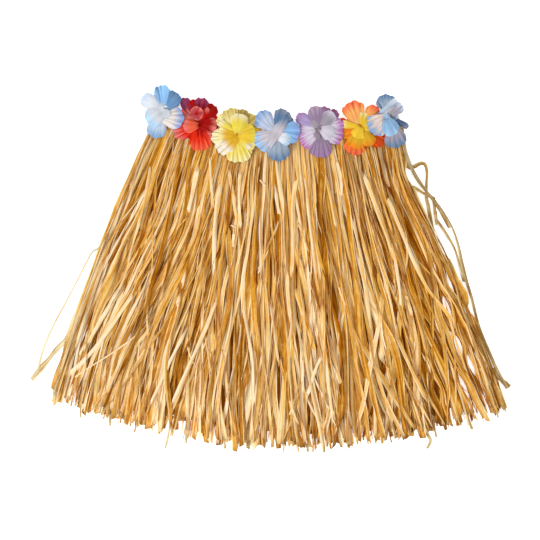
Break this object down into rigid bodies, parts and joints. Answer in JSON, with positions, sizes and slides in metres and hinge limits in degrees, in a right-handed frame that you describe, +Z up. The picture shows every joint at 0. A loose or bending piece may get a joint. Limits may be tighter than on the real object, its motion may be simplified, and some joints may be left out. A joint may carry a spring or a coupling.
{
  "type": "grass skirt",
  "caption": "Raffia grass skirt laid flat: fringe rows hang from an elastic waistband ring, with cloth flowers sewn along the waist.",
  "frame": {"origin": "middle of the footprint, on the surface the skirt lies on", "axes": "+X along the waist to the right, +Y from the hem to the waist, +Z up out of the surface"},
  "size_m": [0.6541, 0.4941, 0.0358],
  "materials": {
    "raffia": "dry raffia ribbon with a slight gloss",
    "elastic": "knitted elastic",
    "petal_blue": "satin polyester, white to blue",
    "petal_red": "satin polyester",
    "petal_yellow": "satin polyester",
    "petal_purple": "satin polyester, white to lilac",
    "petal_orange": "satin polyester, yellow to orange"
  },
  "bodies": {
    "root": {"raffia_back": "raffia", "waistband": "elastic", "fringe_lower": "raffia", "fringe_middle": "raffia", "fringe_upper": "raffia", "petals_outer_blue_left": "petal_blue", "petals_inner_blue_left": "petal_blue", "petals_outer_red": "petal_red", "petals_inner_red": "petal_red", "petals_outer_yellow": "petal_yellow", "petals_inner_yellow": "petal_yellow", "petals_outer_blue_middle": "petal_blue", "petals_inner_blue_middle": "petal_blue", "petals_outer_purple": "petal_purple", "petals_inner_purple": "petal_purple", "petals_outer_orange": "petal_orange", "petals_inner_orange": "petal_orange", "petals_outer_blue_right": "petal_blue", "petals_inner_blue_right": "petal_blue"}
  },
  "joints": []
}
